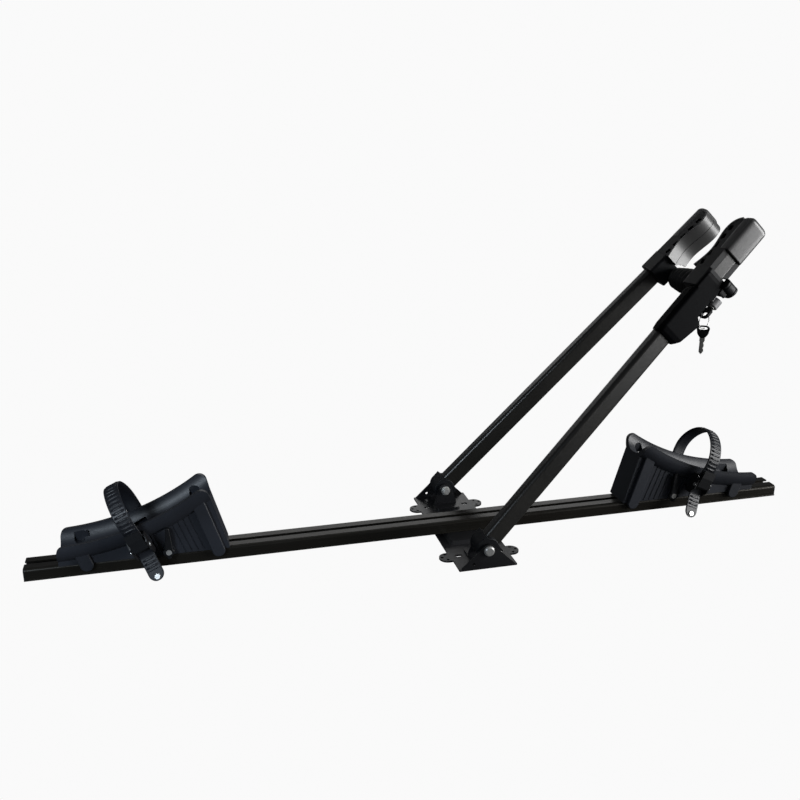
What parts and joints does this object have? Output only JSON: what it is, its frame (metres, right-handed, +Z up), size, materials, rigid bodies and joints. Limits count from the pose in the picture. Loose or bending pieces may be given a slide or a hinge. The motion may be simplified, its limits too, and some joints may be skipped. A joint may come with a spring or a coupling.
{
  "type": "roof mounted bike carrier",
  "caption": "Roof mounted bike carrier: slotted rail with two strap trays and a pair of folding arms that clamp the frame between soft jaws, closed by a locking lever.",
  "frame": {"origin": "centre of the base plate's underside, below the axis of the arm pivots", "axes": "+X along the rail towards the jaws' end, +Y towards the side away from the buckles, +Z up"},
  "size_m": [1.305, 0.2902, 0.5288],
  "materials": {
    "rail_aluminium": "black anodised, satin",
    "coated_steel": "black powder coat",
    "arm_steel": "black powder coat, satin",
    "zinc": "zinc plated",
    "black_plastic": "fine grain",
    "tray_plastic": "fine grain",
    "strap_plastic": "satin",
    "grey_plastic": "satin",
    "soft_rubber": "satin rubber",
    "pad_rubber": "satin rubber"
  },
  "bodies": {
    "root": {"rail": "rail_aluminium", "rail_cap_left": "black_plastic", "rail_cap_right": "black_plastic", "base_plate": "coated_steel", "rail_screws": "zinc", "rail_nuts": "zinc", "near_inner_bracket": "coated_steel", "near_pivot_bolt": "zinc", "near_pivot_nut": "zinc", "far_inner_bracket": "coated_steel", "far_pivot_bolt": "zinc", "far_pivot_nut": "zinc"},
    "far_arm": {"far_arm_tube": "arm_steel", "far_arm_foot": "black_plastic", "far_collar": "black_plastic", "far_jaw_core": "black_plastic", "far_jaw_pad": "pad_rubber", "far_jaw_shell": "black_plastic", "clamp_rod": "zinc", "rod_stop": "zinc", "anchor_plate": "zinc", "bellows": "soft_rubber"},
    "near_arm": {"near_arm_tube": "arm_steel", "near_arm_foot": "black_plastic", "near_collar": "black_plastic", "near_jaw_core": "black_plastic", "near_jaw_pad": "pad_rubber", "near_jaw_shell": "black_plastic", "cam_pin": "zinc", "lock_housing": "grey_plastic"},
    "cam_lever": {"cam_lever": "black_plastic"},
    "lock": {"lock_barrel": "zinc", "lock_key": "black_plastic"},
    "key_ring": {"key_ring": "zinc"},
    "spare_key": {"spare_key": "black_plastic"},
    "right_tray": {"right_tray": "tray_plastic", "right_strap": "strap_plastic", "right_strap_anchor_pin": "zinc", "right_buckle_frame": "coated_steel", "right_buckle_pin": "zinc", "right_stop_rivet": "zinc", "right_tray_bolt": "zinc"},
    "right_pawl_lever": {"right_pawl_lever": "black_plastic"},
    "right_clamp": {"right_clamp_lever": "black_plastic", "right_cam_shaft": "zinc"},
    "left_tray": {"left_tray": "tray_plastic", "left_strap": "strap_plastic", "left_strap_anchor_pin": "zinc", "left_buckle_frame": "coated_steel", "left_buckle_pin": "zinc", "left_stop_rivet": "zinc", "left_tray_bolt": "zinc"},
    "left_pawl_lever": {"left_pawl_lever": "black_plastic"},
    "left_clamp": {"left_clamp_lever": "black_plastic", "left_cam_shaft": "zinc"}
  },
  "joints": [
    {"name": "arm_fold", "type": "hinge", "parent": "root", "child": "far_arm", "pos_m": [0, 0, 0.031], "axis": [0, 1, 0], "range_deg": [-44, 24]},
    {"name": "near_arm_swing", "type": "hinge", "parent": "far_arm", "child": "near_arm", "pos_m": [0, -0.119, 0.031], "axis": [0.7242, 0, -0.6896], "range_deg": [0, 0.2]},
    {"name": "cam_lever_turn", "type": "hinge", "parent": "near_arm", "child": "cam_lever", "pos_m": [0.40735, -0.08692, 0.41816], "axis": [-0.7242, 0, 0.6896], "range_deg": [0, 100]},
    {"name": "lock_turn", "type": "hinge", "parent": "near_arm", "child": "lock", "pos_m": [0.38565, -0.07997, 0.38812], "axis": [0.6872, 0.0837, 0.7216], "range_deg": [0, 90]},
    {"name": "key_ring_swing", "type": "hinge", "parent": "lock", "child": "key_ring", "pos_m": [0.37521, -0.08124, 0.37716], "axis": [-0.342, 0.9397, 0], "range_deg": [-1, 8]},
    {"name": "spare_key_swing", "type": "hinge", "parent": "key_ring", "child": "spare_key", "pos_m": [0.37521, -0.08124, 0.35315], "axis": [0.5, 0.866, 0], "range_deg": [-6, 6]},
    {"name": "right_tray_slide", "type": "slide", "parent": "root", "child": "right_tray", "axis": [1, 0, 0], "range_m": [-0.06, 0.04]},
    {"name": "right_pawl_turn", "type": "hinge", "parent": "right_tray", "child": "right_pawl_lever", "pos_m": [0.424, -0.0536, 0.058], "axis": [0.9063, 0, -0.4226], "range_deg": [0, 45]},
    {"name": "right_clamp_turn", "type": "hinge", "parent": "right_tray", "child": "right_clamp", "pos_m": [0.384, -0.029, 0.036], "axis": [0, 1, 0], "range_deg": [-70, 0]},
    {"name": "left_tray_slide", "type": "slide", "parent": "root", "child": "left_tray", "axis": [1, 0, 0], "range_m": [-0.04, 0.06]},
    {"name": "left_pawl_turn", "type": "hinge", "parent": "left_tray", "child": "left_pawl_lever", "pos_m": [-0.528, -0.0536, 0.058], "axis": [0.9063, 0, 0.4226], "range_deg": [0, 45]},
    {"name": "left_clamp_turn", "type": "hinge", "parent": "left_tray", "child": "left_clamp", "pos_m": [-0.488, -0.029, 0.036], "axis": [0, 1, 0], "range_deg": [0, 70]}
  ],
  "couplings": [
    {"joint": "near_arm_swing", "follows": "cam_lever_turn", "ratio": 0.002}
  ]
}
